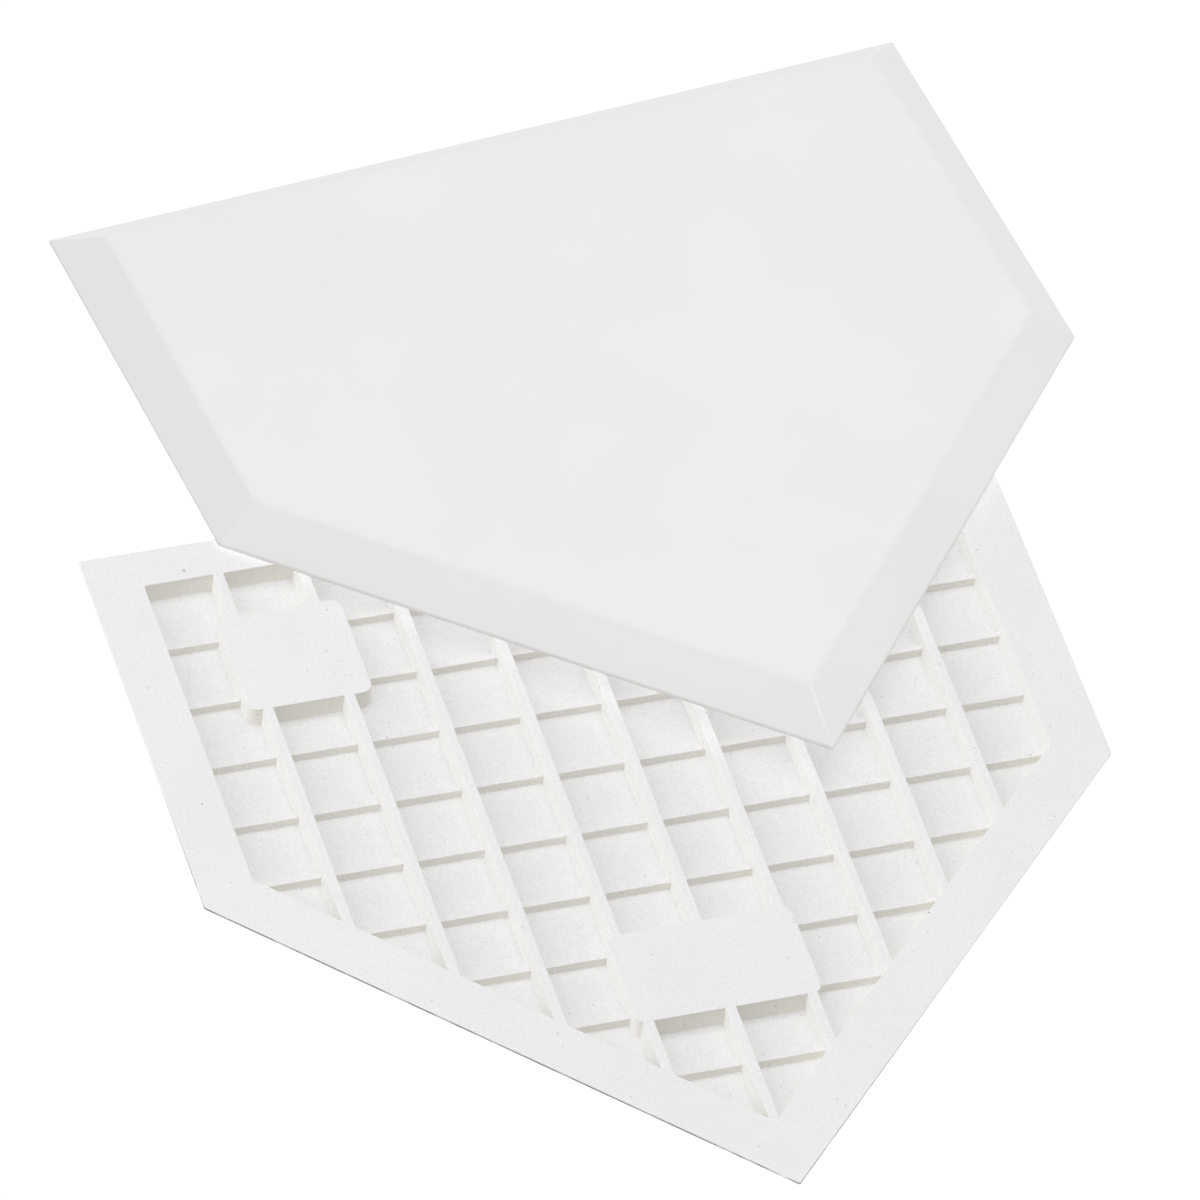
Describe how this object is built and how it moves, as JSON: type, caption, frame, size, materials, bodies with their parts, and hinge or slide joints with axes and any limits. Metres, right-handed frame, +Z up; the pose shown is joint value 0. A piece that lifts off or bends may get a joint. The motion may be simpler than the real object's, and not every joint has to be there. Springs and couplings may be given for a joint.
{
  "type": "baseball home plate pair",
  "caption": "Pair of white rubber home plates with bevelled edges and a waffle underside, one turned over and one leaning on it face up.",
  "frame": {"origin": "on the floor, under the middle of the turned plate, on its playing face", "axes": "+Z up, +Y from the turned plate's point to its back edge, +X to the right as the picture is seen"},
  "size_m": [0.4953, 0.6831, 0.0428],
  "materials": {
    "face_rubber": "smooth satin white rubber of the playing face",
    "edge_rubber": "satin white rubber of the bevels, finely grained on the rim of the underside",
    "rib_rubber": "matt, finely grained white rubber of the waffle underside"
  },
  "bodies": {
    "lower_plate": {"lower_face_panel": "face_rubber", "lower_left_edge": "edge_rubber", "lower_left_front_edge": "edge_rubber", "lower_right_front_edge": "edge_rubber", "lower_right_edge": "edge_rubber", "lower_back_edge": "edge_rubber", "lower_long_rib_1": "rib_rubber", "lower_long_rib_2": "rib_rubber", "lower_long_rib_3": "rib_rubber", "lower_long_rib_4": "rib_rubber", "lower_long_rib_5": "rib_rubber", "lower_long_rib_6": "rib_rubber", "lower_long_rib_7": "rib_rubber", "lower_long_rib_8": "rib_rubber", "lower_long_rib_9": "rib_rubber", "lower_cross_rib_1": "rib_rubber", "lower_cross_rib_2": "rib_rubber", "lower_cross_rib_3": "rib_rubber", "lower_cross_rib_4": "rib_rubber", "lower_cross_rib_5": "rib_rubber", "lower_cross_rib_6": "rib_rubber", "lower_cross_rib_7": "rib_rubber", "lower_cross_rib_8": "rib_rubber", "lower_cross_rib_9": "rib_rubber", "lower_rear_pad": "rib_rubber", "lower_front_pad": "rib_rubber"},
    "upper_plate": {"upper_face_panel": "face_rubber", "upper_left_edge": "edge_rubber", "upper_left_front_edge": "edge_rubber", "upper_right_front_edge": "edge_rubber", "upper_right_edge": "edge_rubber", "upper_back_edge": "edge_rubber", "upper_long_rib_1": "rib_rubber", "upper_long_rib_2": "rib_rubber", "upper_long_rib_3": "rib_rubber", "upper_long_rib_4": "rib_rubber", "upper_long_rib_5": "rib_rubber", "upper_long_rib_6": "rib_rubber", "upper_long_rib_7": "rib_rubber", "upper_long_rib_8": "rib_rubber", "upper_long_rib_9": "rib_rubber", "upper_cross_rib_1": "rib_rubber", "upper_cross_rib_2": "rib_rubber", "upper_cross_rib_3": "rib_rubber", "upper_cross_rib_4": "rib_rubber", "upper_cross_rib_5": "rib_rubber", "upper_cross_rib_6": "rib_rubber", "upper_cross_rib_7": "rib_rubber", "upper_cross_rib_8": "rib_rubber", "upper_cross_rib_9": "rib_rubber", "upper_rear_pad": "rib_rubber", "upper_front_pad": "rib_rubber"}
  },
  "joints": [
    {"name": "upper_lift", "type": "slide", "parent": "lower_plate", "child": "upper_plate", "axis": [0, 0, 1], "range_m": [0, 0.06]}
  ]
}
